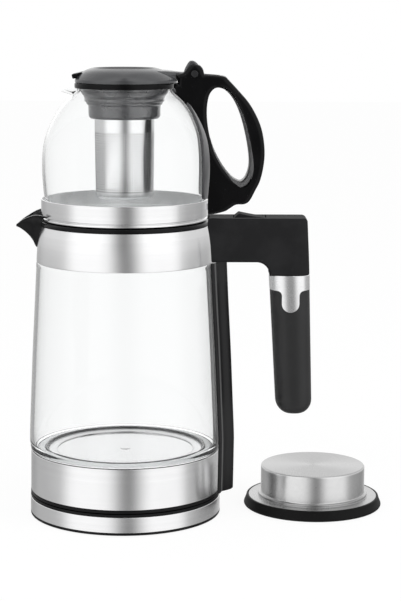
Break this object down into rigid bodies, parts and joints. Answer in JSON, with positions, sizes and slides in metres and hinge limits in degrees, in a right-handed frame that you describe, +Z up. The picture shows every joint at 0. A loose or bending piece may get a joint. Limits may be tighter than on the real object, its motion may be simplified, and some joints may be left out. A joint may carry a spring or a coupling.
{
  "type": "electric kettle with teapot",
  "caption": "Glass electric kettle on a round power base, with a glass teapot and infuser standing in its mouth and the kettle's steel lid beside it.",
  "frame": {"origin": "on the kettle's axis, on the underside of the power base", "axes": "+Z up along the kettle's axis, +X towards both handles and the loose lid, -X towards the spouts"},
  "size_m": [0.299, 0.1571, 0.3668],
  "materials": {
    "brushed_steel": "fine brushed",
    "perforated_steel": "satin, perforated",
    "zinc_steel": "zinc plated",
    "element_steel": "dull",
    "contact_brass": "plain",
    "satin_black": "satin",
    "gloss_black": "polished",
    "lid_grey": "satin",
    "infuser_grey": "translucent smoked",
    "white_plastic": "moulded",
    "rubber_black": "matt",
    "clear_silicone": "translucent",
    "clear_glass": "polished clear"
  },
  "bodies": {
    "power_base": {"base_bottom_plate": "satin_black", "base_foot_1": "rubber_black", "base_foot_2": "rubber_black", "base_foot_3": "rubber_black", "base_foot_4": "rubber_black", "base_screw_1": "zinc_steel", "base_screw_2": "zinc_steel", "base_screw_3": "zinc_steel", "base_steel_band": "brushed_steel", "base_top_housing": "satin_black", "base_cord_gland": "rubber_black", "base_terminal_block": "white_plastic", "base_connector": "satin_black", "base_pin_sleeve": "contact_brass", "base_ring_sleeve": "contact_brass"},
    "kettle": {"kettle_bottom_cover": "satin_black", "kettle_lower_band": "brushed_steel", "kettle_connector": "satin_black", "kettle_contact_pin": "contact_brass", "kettle_contact_ring": "contact_brass", "kettle_control": "satin_black", "heater_carrier": "satin_black", "glass_seat_seal": "clear_silicone", "heating_plate": "brushed_steel", "heating_element": "element_steel", "kettle_glass": "clear_glass", "glass_top_seal": "rubber_black", "spout_ring": "satin_black", "upper_collar": "brushed_steel", "spout_filter": "perforated_steel", "handle_core_rod": "zinc_steel", "handle_steel_ring": "brushed_steel", "handle_grip": "satin_black", "handle_arm": "satin_black", "handle_spine": "satin_black", "handle_screw_1": "zinc_steel", "handle_screw_2": "zinc_steel", "spine_screw": "zinc_steel", "power_lever_pin": "zinc_steel", "power_switch": "white_plastic"},
    "power_lever": {"power_lever": "satin_black"},
    "teapot": {"teapot_cup": "brushed_steel", "teapot_foot_ring": "rubber_black", "teapot_glass": "clear_glass", "teapot_rim_ring": "gloss_black", "infuser_collar": "infuser_grey", "infuser_basket": "perforated_steel", "teapot_handle": "gloss_black", "handle_bracket": "zinc_steel", "lid_hinge_pin": "zinc_steel"},
    "teapot_lid": {"teapot_lid": "lid_grey", "lid_inner_cover": "lid_grey", "lid_front_tab": "gloss_black"},
    "kettle_lid": {"kettle_lid_cap": "brushed_steel", "kettle_lid_seal": "rubber_black", "kettle_lid_disc": "brushed_steel"}
  },
  "joints": [
    {"name": "kettle_lift", "type": "slide", "parent": "power_base", "child": "kettle", "axis": [0, 0, 1], "range_m": [0, 0.06]},
    {"name": "power_lever_press", "type": "hinge", "parent": "kettle", "child": "power_lever", "pos_m": [0.1093, 0, 0.239], "axis": [0, -1, 0], "range_deg": [0, 6], "stiffness_Nm_per_rad": 0.3},
    {"name": "teapot_lift", "type": "slide", "parent": "kettle", "child": "teapot", "axis": [0, 0, 1], "range_m": [0, 0.06]},
    {"name": "teapot_lid_hinge", "type": "hinge", "parent": "teapot", "child": "teapot_lid", "pos_m": [0.0556, 0, 0.3567], "axis": [0, 1, 0], "range_deg": [0, 100]},
    {"name": "kettle_lid_lift", "type": "slide", "parent": "power_base", "child": "kettle_lid", "axis": [0, 0, 1], "range_m": [0, 0.04]}
  ]
}
